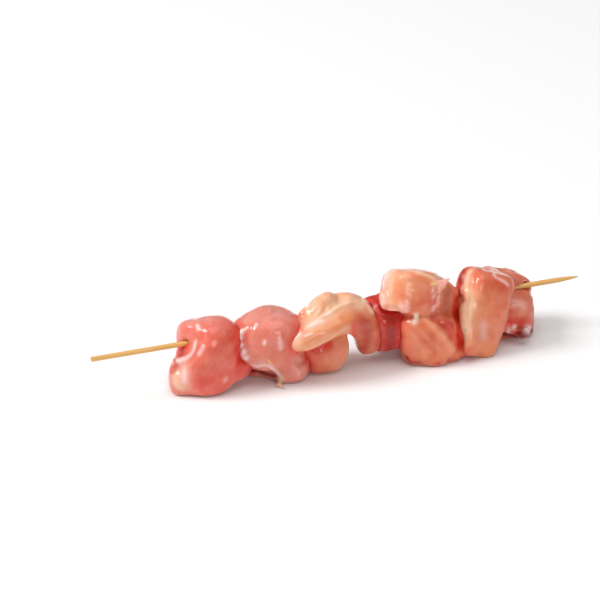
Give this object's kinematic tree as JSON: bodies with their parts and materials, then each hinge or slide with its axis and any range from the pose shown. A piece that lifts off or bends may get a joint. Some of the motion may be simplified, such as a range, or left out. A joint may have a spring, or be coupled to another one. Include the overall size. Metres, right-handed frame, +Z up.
{
  "type": "raw chicken kebab skewer",
  "caption": "Raw chicken kebab: folded chunks of breast meat threaded tightly on a pointed bamboo skewer, lying flat.",
  "frame": {"origin": "under the middle of the whole kebab, on the flat surface that the meat lies on", "axes": "+X along the skewer towards its sharpened point, +Z up from the surface, so that -Y is the side that faces the viewer"},
  "size_m": [0.25, 0.04, 0.0476],
  "materials": {
    "bamboo": "smooth turned bamboo",
    "meat_1": "wet raw chicken breast",
    "meat_2": "wet raw chicken breast",
    "meat_3": "wet raw chicken breast",
    "meat_4": "wet raw chicken breast",
    "meat_5": "wet raw chicken breast",
    "meat_6": "wet raw chicken breast",
    "meat_7": "wet raw chicken breast"
  },
  "bodies": {
    "root": {"skewer": "bamboo", "chicken_1": "meat_1", "chicken_2": "meat_2", "chicken_3": "meat_3", "chicken_4": "meat_4", "chicken_5": "meat_5", "chicken_6": "meat_6", "chicken_7": "meat_7"}
  },
  "joints": []
}
